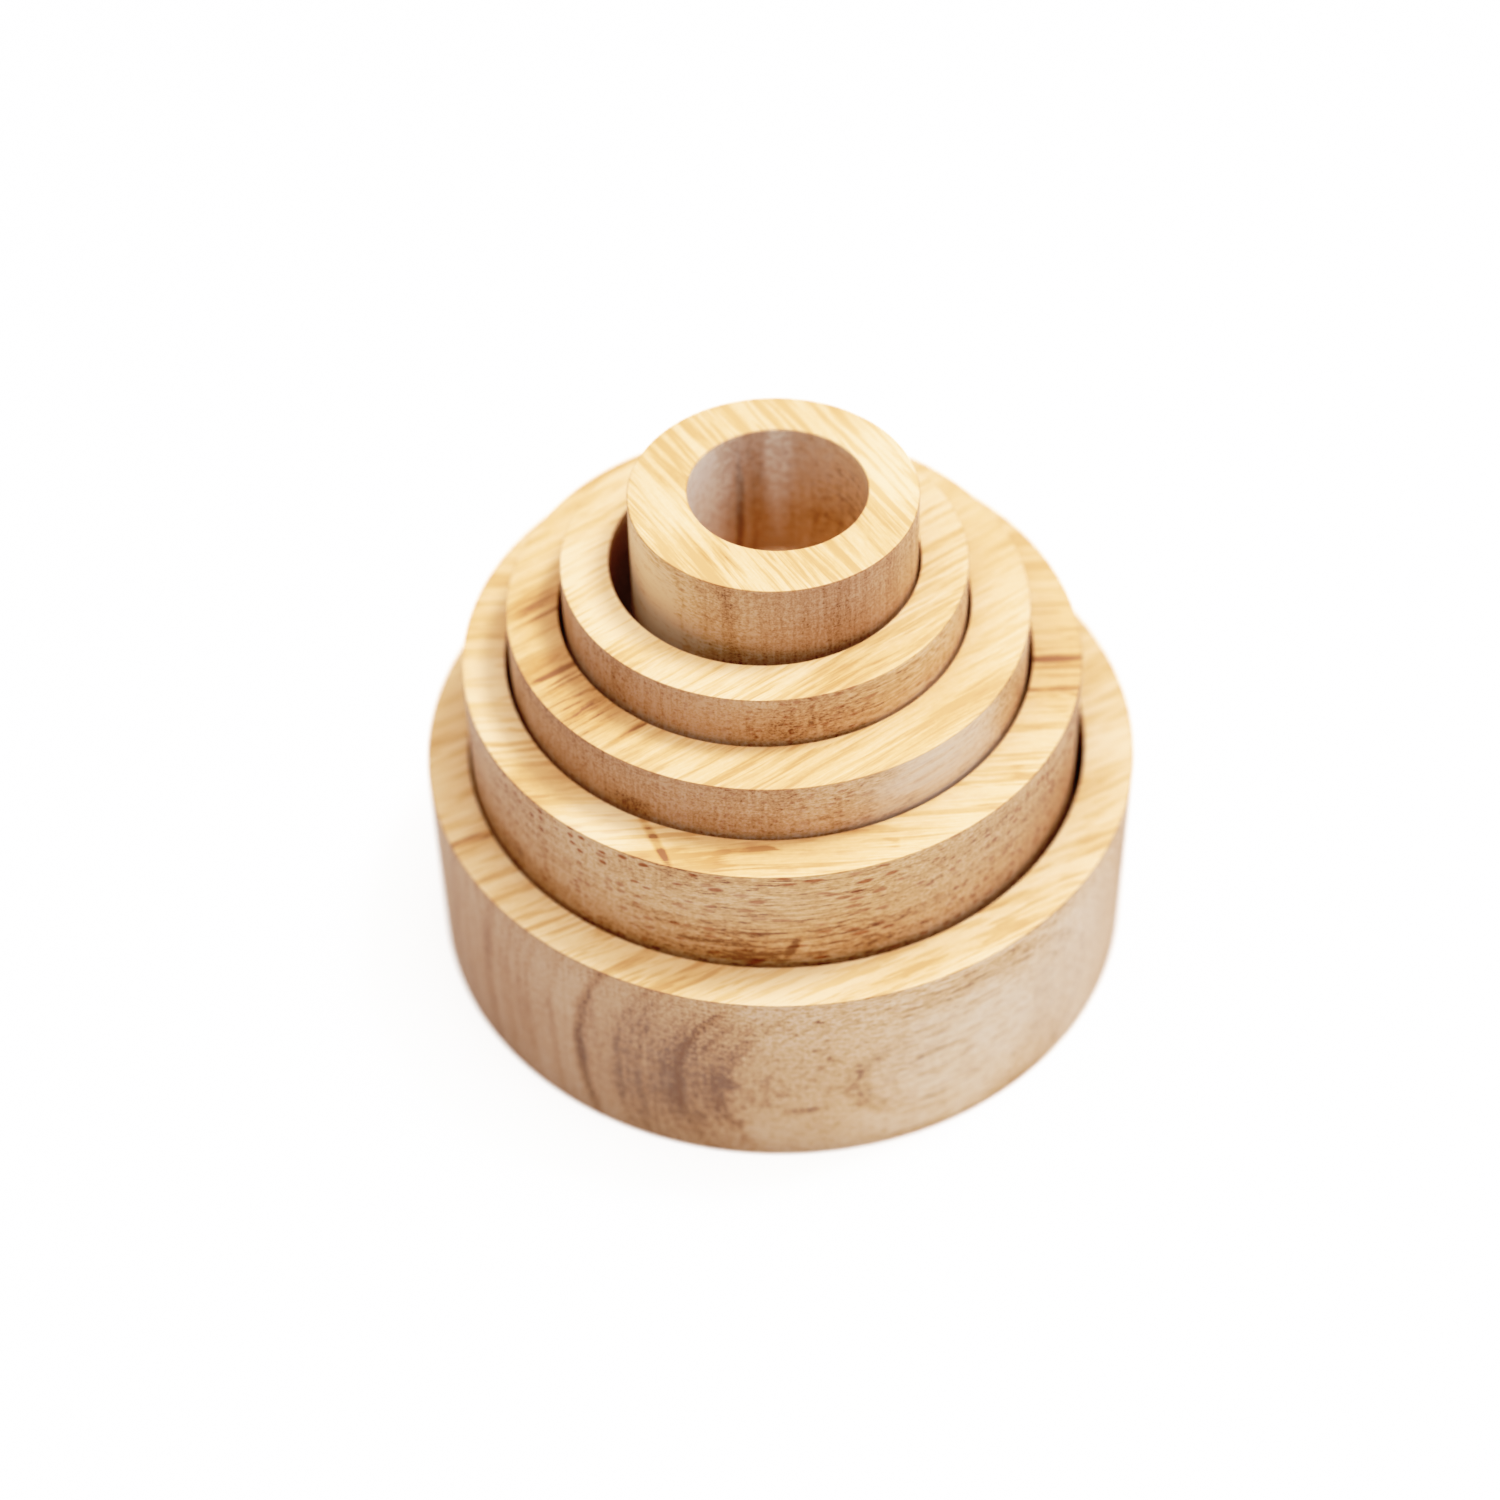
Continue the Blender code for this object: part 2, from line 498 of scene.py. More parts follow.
# The camera looks down by CAMERA_TILT at CAMERA_AIM, from CAMERA_DISTANCE. Yaw and pitch are slopes
# that turn it a little off that aim, and the roll is in radians.
CAMERA_TILT = math.radians(46.41)
CAMERA_DISTANCE = 0.5384
CAMERA_AIM = Vector((0.0, 0.0, 0.030))
CAMERA_YAW = -0.0097
CAMERA_PITCH = 0.0057
CAMERA_ROLL = -0.0231
# Focal length and sensor width, in millimetres.
LENS = 75.1
SENSOR = 36.0
F_STOP = 5.6
# The focus is a point on the axis above the cups, as far away as their near rims.
FOCUS_HEIGHT = 0.110


def measure(name):
    """A cup's main sizes, read from its CAD node."""
    low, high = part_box(name)
    axis = (low + high) / 2
    outer = (high.x - low.x) / 2
    points = [vertex.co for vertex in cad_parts[name].data.vertices]
    hollow = [
        point
        for point in points
        if point.z > low.z + HOLLOW_INSET
        and math.hypot(point.x - axis.x, point.y - axis.y) < outer - HOLLOW_INSET
    ]
    wall = [point for point in hollow if point.z < high.z - TINY]
    left = min(point.x for point in wall)
    right = max(point.x for point in wall)
    front = min(point.y for point in wall)
    back = max(point.y for point in wall)
    return Measures(
        axis=Vector((axis.x, axis.y)),
        outer=outer,
        base=low.z,
        rim=high.z,
        bore_axis=Vector(((left + right) / 2, (front + back) / 2)),
        bore=(right - left) / 2,
        floor=min(point.z for point in hollow),
    )


def roughen(seed, angle, height, scale):
    """Smooth noise from 0 to 1 round a cup, the same on every run."""
    place = Vector((math.cos(angle) * scale, math.sin(angle) * scale, height + seed))
    return 0.5 + 0.5 * noise.noise(place)


def arc(centre, radius, start, end):
    """Points of a small arc in the half section, as (radius, height), angles in degrees."""
    turns = [start + (end - start) * step / ARC_STEPS for step in range(ARC_STEPS + 1)]
    return [
        (
            centre[0] + radius * math.cos(math.radians(turn)),
            centre[1] + radius * math.sin(math.radians(turn)),
        )
        for turn in turns
    ]


def between(start, end, steps):
    """The inner points of a straight run between two points, without its ends."""
    return [
        (
            start[0] + (end[0] - start[0]) * step / steps,
            start[1] + (end[1] - start[1]) * step / steps,
        )
        for step in range(1, steps)
    ]


def half_section(cup, edge):
    """The cup's outline at one angle, as (radius, height, share of the bore's run-out)."""
    foot = arc((cup.outer - edge, cup.base + edge), edge, -90, 0)
    rim_out = arc((cup.outer - edge, cup.rim - edge), edge, 0, 90)
    rim_in = arc((cup.bore + edge, cup.rim - edge), edge, 90, 180)
    low_corner = (cup.bore - CORNER_RADIUS, cup.floor + CORNER_RADIUS)
    corner = arc(low_corner, CORNER_RADIUS, 0, -90)
    under = between((0.0, cup.base), foot[0], DISC_STEPS)
    wall = between(foot[-1], rim_out[0], WALL_STEPS)
    top = between(rim_out[-1], rim_in[0], RIM_STEPS)
    bore = between(rim_in[-1], corner[0], WALL_STEPS)
    floor = between(corner[-1], (0.0, cup.floor), DISC_STEPS)
    outline = [(r, z, 0.0) for r, z in under + foot + wall + rim_out]
    outline += [(r, z, (i + 1) / RIM_STEPS) for i, (r, z) in enumerate(top)]
    outline += [(r, z, 1.0) for r, z in rim_in + bore + corner + floor]
    return outline


def sanded(cup, wood, radius, height, share, angle):
    """A point of the skin, moved a little into the wood by sanding and by the gouge's rings."""
    on_wall = share == 0.0 and radius > cup.outer - TINY
    in_bore = share == 1.0 and radius > cup.bore - TINY
    if on_wall:
        depth = SANDING_DEPTH * roughen(wood.seed, angle, height / OUTER_WAVE_HEIGHT, SANDING_WAVES)
        radius -= depth
    elif in_bore:
        seed = wood.seed + BORE_SEED
        depth = SANDING_DEPTH * roughen(seed, angle, height / BORE_WAVE_HEIGHT, SANDING_WAVES)
        radius += depth
    if share == 1.0 and height < cup.floor + TINY:
        height += TOOL_DEPTH * (0.5 + 0.5 * math.sin(radius / TOOL_PITCH * 2 * math.pi))
    return radius, height


def turn(name, cup, wood):
    """The cup as one closed mesh, lofted round its two axes."""
    vertices = []
    faces = []
    rings = 0
    for column in range(SEGMENTS):
        angle = 2 * math.pi * column / SEGMENTS
        ease = 1 - EDGE_VARIATION * roughen(wood.seed + EDGE_SEED, angle, 0.0, EDGE_WAVES)
        outline = half_section(cup, EDGE_RADIUS * ease)
        rings = len(outline)
        for radius, height, share in outline:
            radius, height = sanded(cup, wood, radius, height, share, angle)
            centre = cup.axis.lerp(cup.bore_axis, share)
            x = centre.x + radius * math.cos(angle)
            y = centre.y + radius * math.sin(angle)
            vertices.append((x, y, height))
    for column in range(SEGMENTS):
        here = column * rings
        there = (column + 1) % SEGMENTS * rings
        for ring in range(rings - 1):
            faces.append((here + ring, there + ring, there + ring + 1, here + ring + 1))
    foot_centre = len(vertices)
    vertices.append((cup.axis.x, cup.axis.y, cup.base))
    floor_centre = len(vertices)
    vertices.append((cup.bore_axis.x, cup.bore_axis.y, cup.floor))
    for column in range(SEGMENTS):
        here = column * rings
        there = (column + 1) % SEGMENTS * rings
        faces.append((foot_centre, there, here))
        faces.append((floor_centre, here + rings - 1, there + rings - 1))
    mesh = bpy.data.meshes.new(name)
    mesh.from_pydata(vertices, [], faces)
    mesh.shade_smooth()
    mesh.update()
    return mesh


class Sheet:
    """A material's node tree, with one short call for each kind of node."""

    def __init__(self, name):
        self.material = bpy.data.materials.new(name)
        self.material.use_nodes = True
        self.tree = self.material.node_tree
        self.shader = self.tree.nodes["Principled BSDF"]

    def feed(self, socket, value):
        if isinstance(value, bpy.types.NodeSocket):
            self.tree.links.new(value, socket)
        else:
            socket.default_value = value

    def node(self, kind, inputs, **settings):
        made = self.tree.nodes.new(kind)
        for name, value in settings.items():
            setattr(made, name, value)
        for key, value in inputs.items():
            self.feed(made.inputs[key], value)
        return made

    def maths(self, operation, a, b=0.0, clamp=False):
        made = self.node("ShaderNodeMath", {0: a, 1: b}, operation=operation, use_clamp=clamp)
        return made.outputs[0]

    def vector(self, operation, a, b=(0.0, 0.0, 0.0)):
        made = self.node("ShaderNodeVectorMath", {0: a, 1: b}, operation=operation)
        single = operation in ("LENGTH", "DOT_PRODUCT")
        return made.outputs["Value" if single else "Vector"]

    def noise(self, place, detail=2.0, roughness=0.5, colour=False):
        inputs = {"Vector": place, "Scale": 1.0, "Detail": detail, "Roughness": roughness}
        made = self.node("ShaderNodeTexNoise", inputs)
        return made.outputs[1 if colour else 0]

    def step(self, value, low, high, start=0.0, end=1.0):
        """A smooth step from start to end as the value goes from low to high."""
        inputs = {"Value": value, 1: low, 2: high, 3: start, 4: end}
        made = self.node("ShaderNodeMapRange", inputs, interpolation_type="SMOOTHSTEP")
        return made.outputs[0]

    def mix(self, share, a, b, blend="MIX"):
        made = self.node("ShaderNodeMix", {}, data_type="RGBA", blend_type=blend)
        self.feed(made.inputs[0], share)
        self.feed(made.inputs[6], a)
        self.feed(made.inputs[7], b)
        return made.outputs[2]

    def ramp(self, value, stops):
        """A colour ramp. Each stop is a position and a linear colour or a grey value."""
        made = self.node("ShaderNodeValToRGB", {0: value})
        band = made.color_ramp
        band.interpolation = "LINEAR"
        while len(band.elements) > 1:
            band.elements.remove(band.elements[-1])
        for index, (place, colour) in enumerate(stops):
            stop = band.elements[0] if index == 0 else band.elements.new(place)
            stop.position = place
            grey = isinstance(colour, float)
            stop.color = (colour, colour, colour, 1.0) if grey else (*colour, 1.0)
        return made.outputs[0]


def solid(colour):
    return (*colour, 1.0)


def per(size):
    """The scale at which a pattern changes once over each of these lengths."""
    return tuple(1 / length for length in size)


def grain_frame(sheet, cup, wood):
    """Millimetres along the fibre, across it and up, from the cup's foot."""
    here = sheet.node("ShaderNodeTexCoord", {}).outputs["Object"]
    foot = (cup.axis.x, cup.axis.y, cup.base)
    local = sheet.vector("SUBTRACT", here, foot)
    level = sheet.node(
        "ShaderNodeMapping",
        {
            "Vector": local,
            "Rotation": (0.0, 0.0, -math.radians(wood.heading)),
            "Scale": (1 / MM, 1 / MM, 1 / MM),
        },
    )
    return level.outputs[0]


def stray(sheet, grain, reach, size, seed):
    """The grain frame pushed sideways by noise: up to reach, over the given lengths."""
    place = sheet.vector("MULTIPLY", grain, per(size))
    place = sheet.vector("ADD", place, (seed, 0.0, 0.0))
    push = sheet.noise(place, colour=True)
    push = sheet.vector("SUBTRACT", push, (0.5, 0.5, 0.5))
    push = sheet.vector("MULTIPLY", push, (0.0, reach * 2, reach * 2))
    return sheet.vector("ADD", grain, push)


def line_stops(lines):
    """Ramp stops for dark growth lines: each rises fast on its inner side and fades outwards."""
    stops = [(0.0, 0.0)]
    for line in lines:
        rise = line.distance - LINE_RISE * line.width
        fall = line.distance + LINE_FALL * line.width
        stops.append((rise / RING_SPAN, 0.0))
        stops.append((line.distance / RING_SPAN, line.strength))
        stops.append((fall / RING_SPAN, 0.0))
    return stops


def from_pith(sheet, place, wood):
    """How far a place in the grain frame is from the centre of the growth rings."""
    offset = sheet.vector("SUBTRACT", place, (0.0, *wood.pith))
    return sheet.vector("LENGTH", sheet.vector("MULTIPLY", offset, (0.0, 1.0, 1.0)))


def ring_noise(sheet, bent, distance, rings, shift):
    """Noise that changes fast from ring to ring and slowly along them."""
    pitch, reach = rings
    parts = sheet.node("ShaderNodeSeparateXYZ", {0: bent}).outputs
    place = sheet.node(
        "ShaderNodeCombineXYZ",
        {
            0: sheet.maths("MULTIPLY", distance, 1 / pitch),
            1: sheet.maths("MULTIPLY", parts[0], 1 / reach),
            2: sheet.maths("MULTIPLY", parts[1], RINGS_ACROSS / reach),
        },
    ).outputs[0]
    return sheet.noise(sheet.vector("ADD", place, shift))


def threads(sheet, value):
    """Thin lines where a noise passes through its middle."""
    off = sheet.maths("ABSOLUTE", sheet.maths("SUBTRACT", value, 0.5))
    return sheet.step(off, 0.0, THREAD_WIDTH, 1.0, 0.0)


def marked_lines(sheet, near, wood):
    """The single dark growth lines of this blank, fading in and out along their length."""
    distance = sheet.maths("DIVIDE", from_pith(sheet, near, wood), RING_SPAN)
    marked = sheet.ramp(distance, line_stops(wood.lines))
    faint = sheet.noise(sheet.vector("MULTIPLY", near, per(FADE_SIZE)))
    fade = sheet.step(faint, *FADE_EDGE, FADE_LEAST, 1.0)
    return sheet.maths("MULTIPLY", marked, fade)


def pore_mask(sheet, bent, wood):
    """Open vessels: short dark dashes along the fibre, dots on the fibre ends."""
    across = 1 / wood.pore_width
    scale = (across / wood.pore_length, across, across)
    place = sheet.vector("MULTIPLY", bent, scale)
    cells = sheet.node("ShaderNodeTexVoronoi", {"Vector": place, "Scale": 1.0, "Randomness": 1.0})
    near = sheet.step(cells.outputs["Distance"], *PORE_EDGE, 1.0, 0.0)
    luck = sheet.node("ShaderNodeSeparateColor", {0: cells.outputs["Color"]}).outputs[0]
    chosen = sheet.step(luck, *PORE_CHANCE)
    return sheet.maths("MULTIPLY", near, chosen)


def mark_mask(sheet, near, mark):
    """A soft-edged fleck or streak at one place in the blank."""
    moved = sheet.vector("SUBTRACT", near, mark.place)
    upright = sheet.node(
        "ShaderNodeMapping",
        {"Vector": moved, "Rotation": (0.0, 0.0, -math.radians(mark.turn))},
    ).outputs[0]
    leaned = sheet.node(
        "ShaderNodeMapping",
        {"Vector": upright, "Rotation": (0.0, math.radians(mark.lean), 0.0)},
    ).outputs[0]
    shrunk = sheet.vector("DIVIDE", leaned, mark.reach)
    return sheet.step(sheet.vector("LENGTH", shrunk), MARK_CORE, 1.0, mark.strength, 0.0)


def marks_sum(sheet, near, marks):
    total = 0.0
    for mark in marks:
        total = sheet.maths("ADD", mark_mask(sheet, near, mark), total)
    return total


def facing(sheet, direction, sharpness):
    """1 where the skin faces along a direction, either way, falling to 0 at right angles."""
    normal = sheet.node("ShaderNodeTexCoord", {}).outputs["Normal"]
    share = sheet.maths("ABSOLUTE", sheet.vector("DOT_PRODUCT", normal, direction))
    return sheet.maths("POWER", share, sharpness)


def in_bore(sheet, grain, cup, wood):
    """1 inside the bore, 0 outside it."""
    spin = Matrix.Rotation(-math.radians(wood.heading), 2)
    bore = spin @ (cup.bore_axis - cup.axis)
    level = sheet.vector("SUBTRACT", grain, (bore.x / MM, bore.y / MM, 0.0))
    radius = sheet.vector("LENGTH", sheet.vector("MULTIPLY", level, (1.0, 1.0, 0.0)))
    skin = cup.bore / MM
    return sheet.step(radius, skin + BORE_EDGE[0], skin + BORE_EDGE[1], 1.0, 0.0)


def bore_shaded(sheet, grain, cup, wood):
    """How much painted shade darkens the bore: nothing at the rim, full a little way down."""
    height = sheet.node("ShaderNodeSeparateXYZ", {0: grain}).outputs[2]
    rim = (cup.rim - cup.base) / MM
    return sheet.step(height, rim - wood.burnish_depth, rim - BORE_SHADE_START, wood.burnish, 0.0)


# What several stages of one wood's shader share.
# place: the grain frame. near, bent: the same frame, strayed a little and a lot.
# distance: from the pith. ends, sides: how far the skin cuts across the fibre or lies along it.
# wall: 0 where the skin is level and 1 where it is upright. on_wall: the same, with a steeper rise.
# bands, streaks, fibres: noises. marked: the single growth lines, on the walls only.
Grain = namedtuple(
    "Grain", "place near bent distance ends sides wall on_wall bands streaks fibres marked"
)


def read_grain(sheet, cup, wood):
    """Lays the grain's frame in the blank, and reads from it what the other stages use."""
    place = grain_frame(sheet, cup, wood)
    near = stray(sheet, place, STRAY, STRAY_SIZE, wood.seed)
    bent = stray(sheet, near, wood.wander, WANDER_SIZE, wood.seed + WANDER_SEED)
    distance = from_pith(sheet, bent, wood)
    heading = math.radians(wood.heading)
    along = (math.cos(heading), math.sin(heading), 0.0)
    across = (-math.sin(heading), math.cos(heading), 0.0)
    wall = sheet.maths("SUBTRACT", 1.0, facing(sheet, (0.0, 0.0, 1.0), 1.0), clamp=True)
    on_wall = sheet.step(wall, *WALL_EDGE)
    streak_size = (wood.streak_length, STREAK_WIDTH, STREAK_WIDTH)
    return Grain(
        place=place,
        near=near,
        bent=bent,
        distance=distance,
        ends=facing(sheet, along, ENDS_SHARPNESS),
        sides=facing(sheet, across, SIDES_SHARPNESS),
        wall=wall,
        on_wall=on_wall,
        bands=ring_noise(sheet, bent, distance, BAND_RINGS, (wood.seed, 0, 0)),
        streaks=sheet.noise(sheet.vector("MULTIPLY", bent, per(streak_size)), *STREAK_NOISE),
        fibres=sheet.noise(sheet.vector("MULTIPLY", bent, per(FIBRE_SIZE)), *FIBRE_NOISE),
        marked=sheet.maths("MULTIPLY", marked_lines(sheet, near, wood), on_wall),
    )


def drawn_lines(sheet, grain, wood):
    """The growth lines, dashes and threads, which the walls show less than the rims."""
    fine = ring_noise(sheet, grain.bent, grain.distance, LINE_RINGS, (0, wood.seed, 0))
    finer = ring_noise(sheet, grain.bent, grain.distance, THREAD_RINGS, (0, 0, wood.seed))
    lines = sheet.maths("MULTIPLY", sheet.step(fine, *LINE_EDGE), LINE_DARKNESS)
    beside = sheet.step(grain.streaks, *THREAD_EDGE)
    thread = sheet.maths("MULTIPLY", threads(sheet, finer), beside)
    dashes = sheet.maths("MULTIPLY", sheet.step(grain.streaks, *DASH_EDGE), DASH_DARKNESS)
    dashes = sheet.maths("ADD", dashes, sheet.maths("MULTIPLY", thread, THREAD_DARKNESS))
    # Cut across, a fibre is too small to see.
    cut = sheet.maths("MULTIPLY", grain.on_wall, grain.ends)
    along = sheet.maths("SUBTRACT", 1.0, sheet.maths("MULTIPLY", cut, ENDS_HIDE))
    lines = sheet.maths("ADD", lines, sheet.maths("MULTIPLY", dashes, along))
    shown = sheet.step(grain.wall, *WALL_EDGE, 1.0, wood.rings)
    return sheet.maths("MULTIPLY", lines, sheet.maths("MULTIPLY", shown, wood.streaks))


def speckles(sheet, grain, wood):
    """What sanding leaves: broken fibres and grit."""
    coarse = sheet.step(grain.wall, *WALL_EDGE, *FUZZ_DARKNESS)
    fuzz = sheet.maths("MULTIPLY", sheet.maths("SUBTRACT", grain.fibres, 0.5), coarse)
    grit = sheet.noise(sheet.vector("MULTIPLY", grain.place, per(GRIT_SIZE)), *GRIT_NOISE)
    grit = sheet.maths("SUBTRACT", grit, GRIT_MIDDLE)
    speckle = sheet.maths("MULTIPLY", grit, GRIT_DARKNESS * wood.grit)
    shown = sheet.step(grain.wall, *WALL_EDGE, *GRIT_SHOWN)
    return sheet.maths("ADD", fuzz, sheet.maths("MULTIPLY", speckle, shown))


def scores(sheet, grain):
    """On the walls the gouge leaves level lines, and the ends of the fibres make upright ones."""
    score_place = sheet.vector("MULTIPLY", grain.place, per(SCORE_SIZE))
    turned = sheet.noise(score_place, *SCORE_NOISE)
    rays = sheet.noise(sheet.vector("MULTIPLY", grain.near, per(RAY_SIZE)), *RAY_NOISE)
    level = sheet.maths("MULTIPLY", sheet.maths("SUBTRACT", turned, 0.5), SCORE_DARKNESS)
    upright = sheet.maths("MULTIPLY", sheet.maths("SUBTRACT", rays, 0.5), RAY_DARKNESS)
    upright = sheet.maths("MULTIPLY", upright, grain.ends)
    return sheet.maths("MULTIPLY", sheet.maths("ADD", level, upright), grain.on_wall)


def darkness(sheet, grain, wood):
    """How dark the wood is: 0 for the palest early wood, 1 for the darkest line."""
    patch_place = sheet.vector("MULTIPLY", grain.place, per(PATCH_SIZE))
    patches = sheet.noise(sheet.vector("ADD", patch_place, (0, 0, wood.seed)))
    dark = sheet.maths("MULTIPLY", sheet.step(grain.bands, *BAND_EDGE), BAND_DARKNESS)
    dark = sheet.maths("ADD", dark, drawn_lines(sheet, grain, wood))
    dark = sheet.maths("ADD", dark, grain.marked)
    patchy = sheet.maths("MULTIPLY", sheet.step(patches, *PATCH_EDGE), PATCH_DARKNESS)
    dark = sheet.maths("ADD", dark, patchy)
    dark = sheet.maths("ADD", dark, speckles(sheet, grain, wood))
    dark = sheet.maths("ADD", dark, scores(sheet, grain))
    dark = sheet.maths("ADD", dark, wood.tone * TONE_DARKNESS)
    dark = sheet.maths("MINIMUM", dark, sheet.step(grain.wall, *WALL_EDGE, *DARKEST))
    dark = sheet.maths("MAXIMUM", dark, 0.0)
    return sheet.maths("ADD", dark, marks_sum(sheet, grain.near, wood.marks))


def open_pores(sheet, grain, wood):
    """The pores, crowded in the dark bands and rare on the rims."""
    crowd = sheet.step(grain.bands, *CROWD_EDGE, PORES_ALONE, 1.0)
    crowd = sheet.maths("MULTIPLY", crowd, sheet.step(grain.wall, *WALL_EDGE, *PORES_SHOWN))
    pores = sheet.maths("MULTIPLY", pore_mask(sheet, grain.bent, wood), crowd)
    return sheet.maths("MULTIPLY", pores, wood.pores)


def tinted(sheet, colour, grain, pores, wood):
    """The colour, tinted by open pores and by the cut of the wall, with a painted sheen on the long
    grain.
    """
    colour = sheet.mix(pores, colour, solid(PORE_TINT), "MULTIPLY")
    colour = sheet.mix(grain.ends, colour, solid(END_TINT), "MULTIPLY")
    # Painted sheen: the long grain of a wall is made paler and bluer.
    sides = sheet.maths("MULTIPLY", grain.sides, wood.pale_sides)
    unmarked = sheet.step(grain.marked, *MARKED_EDGE, 1.0, 0.0)
    sides = sheet.maths("MULTIPLY", sides, unmarked)
    return sheet.mix(sides, colour, solid(SIDE_SHEEN_TINT), "MULTIPLY")


def sheened(sheet, colour, grain, inside, wood):
    """The colour, with painted sheen on the outer walls and painted light and sheen in the bore."""
    outside = sheet.maths("SUBTRACT", grain.on_wall, inside)
    sheen = sheet.maths("MULTIPLY", marks_sum(sheet, grain.near, wood.chalky), outside)
    bore_sheen = marks_sum(sheet, grain.near, wood.bore_chalky)
    bore_sheen = sheet.maths("MULTIPLY", bore_sheen, inside)
    broken = sheet.step(grain.streaks, *PAINTED_SHEEN_EDGE, 1.0, PAINTED_SHEEN_ON_STREAKS)
    sheen = sheet.maths("MULTIPLY", sheen, broken)
    unmarked = sheet.step(grain.marked, *MARKED_EDGE, 1.0, PAINTED_SHEEN_ON_LINES)
    sheen = sheet.maths("MULTIPLY", sheen, unmarked)
    bore_sheen = sheet.maths("MULTIPLY", bore_sheen, broken, clamp=True)
    colour = sheet.mix(sheen, colour, solid(PAINTED_SHEEN))
    return sheet.mix(bore_sheen, colour, solid(BORE_PAINTED_SHEEN))


def finish_skin(sheet, grain, pores):
    """The faint shine of sanded wood, and the fine relief of its fibres."""
    shine = sheet.step(grain.fibres, *SHINE_EDGE, *SHINE)
    shine = sheet.maths("ADD", shine, sheet.maths("MULTIPLY", pores, PORE_ROUGHNESS))
    sheet.feed(sheet.shader.inputs["Roughness"], shine)
    sheet.shader.inputs["Specular IOR Level"].default_value = SPECULAR
    height = sheet.maths("MULTIPLY", grain.fibres, FIBRE_HEIGHT)
    height = sheet.maths("SUBTRACT", height, pores)
    sunk = sheet.maths("MULTIPLY", grain.streaks, STREAK_DEPTH)
    height = sheet.maths("SUBTRACT", height, sunk)
    bump = sheet.node(
        "ShaderNodeBump",
        {"Height": height, "Strength": RELIEF_STRENGTH, "Distance": RELIEF_DEPTH},
    )
    sheet.feed(sheet.shader.inputs["Normal"], bump.outputs[0])


def rubberwood(name, cup, wood):
    """The finished surface of one blank: bare sanded rubberwood, with painted sheen and painted
    shade.
    """
    sheet = Sheet(name)
    grain = read_grain(sheet, cup, wood)
    stops = ((0.0, CREAM), (STRAW_AT, STRAW), (AMBER_AT, AMBER), (1.0, UMBER))
    colour = sheet.ramp(darkness(sheet, grain, wood), stops)
    pores = open_pores(sheet, grain, wood)
    colour = tinted(sheet, colour, grain, pores, wood)
    inside = sheet.maths("MULTIPLY", in_bore(sheet, grain.place, cup, wood), grain.on_wall)
    colour = sheened(sheet, colour, grain, inside, wood)
    # Painted shade, deepening down the bore.
    dim = sheet.maths("MULTIPLY", bore_shaded(sheet, grain.place, cup, wood), inside)
    colour = sheet.mix(dim, colour, solid(BORE_SHADE_TINT), "MULTIPLY")
    edge = sheet.maths("MULTIPLY", sheet.maths("SUBTRACT", 1.0, grain.wall), grain.wall)
    edge = sheet.maths("MULTIPLY", edge, EDGE_STRENGTH, clamp=True)
    colour = sheet.mix(edge, colour, solid(EDGE_TINT), "MULTIPLY")
    sheet.feed(sheet.shader.inputs["Base Color"], colour)
    finish_skin(sheet, grain, pores)
    return sheet.material


def make_cup(name):
    cup = measure(name)
    wood = WOODS[name]
    piece = bpy.data.objects.new(name + "_turned", turn(name + "_turned", cup, wood))
    bpy.context.scene.collection.objects.link(piece)
    piece.data.materials.append(rubberwood(name + "_rubberwood", cup, wood))
    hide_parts(name)
    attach(piece, name)
    return piece


def table():
    """A plain white table top, just under the largest cup."""
    half = TABLE_HALF
    mesh = bpy.data.meshes.new("table_top")
    corners = [(-half, -half, 0.0), (half, -half, 0.0), (half, half, 0.0), (-half, half, 0.0)]
    mesh.from_pydata(corners, [], [(0, 1, 2, 3)])
    top = bpy.data.objects.new("table_top", mesh)
    top.location.z = -TABLE_DROP
    bpy.context.scene.collection.objects.link(top)
    sheet = Sheet("white_table")
    sheet.shader.inputs["Base Color"].default_value = solid(TABLE_COLOUR)
    sheet.shader.inputs["Emission Color"].default_value = solid((1.0, 1.0, 1.0))
    seen = sheet.node("ShaderNodeLightPath", {}).outputs["Is Camera Ray"]
    far = sheet.vector("LENGTH", sheet.node("ShaderNodeTexCoord", {}).outputs["Object"])
    glow = sheet.step(far, FAR_FROM, FAR_FULL, TABLE_GLOW, FAR_GLOW)
    glow = sheet.maths("MULTIPLY", seen, glow)
    sheet.feed(sheet.shader.inputs["Emission Strength"], glow)
    sheet.shader.inputs["Roughness"].default_value = TABLE_ROUGHNESS
    sheet.shader.inputs["Specular IOR Level"].default_value = TABLE_SPECULAR
    mesh.materials.append(sheet.material)


def softbox(name, place, aim, size, power, colour):
    light = bpy.data.lights.new(name, "AREA")
    light.shape = "SQUARE"
    light.size = size
    light.energy = power
    light.color = colour
    lamp = bpy.data.objects.new(name, light)
    lamp.location = place
    lamp.rotation_euler = (Vector(aim) - Vector(place)).to_track_quat("-Z", "Y").to_euler()
    bpy.context.scene.collection.objects.link(lamp)


def around(heading, height, distance):
    """A place round the cups: its heading from +X and its height, both in degrees."""
    level = distance * math.cos(math.radians(height))
    return (
        level * math.cos(math.radians(heading)),
        level * math.sin(math.radians(heading)),
        distance * math.sin(math.radians(height)),
    )


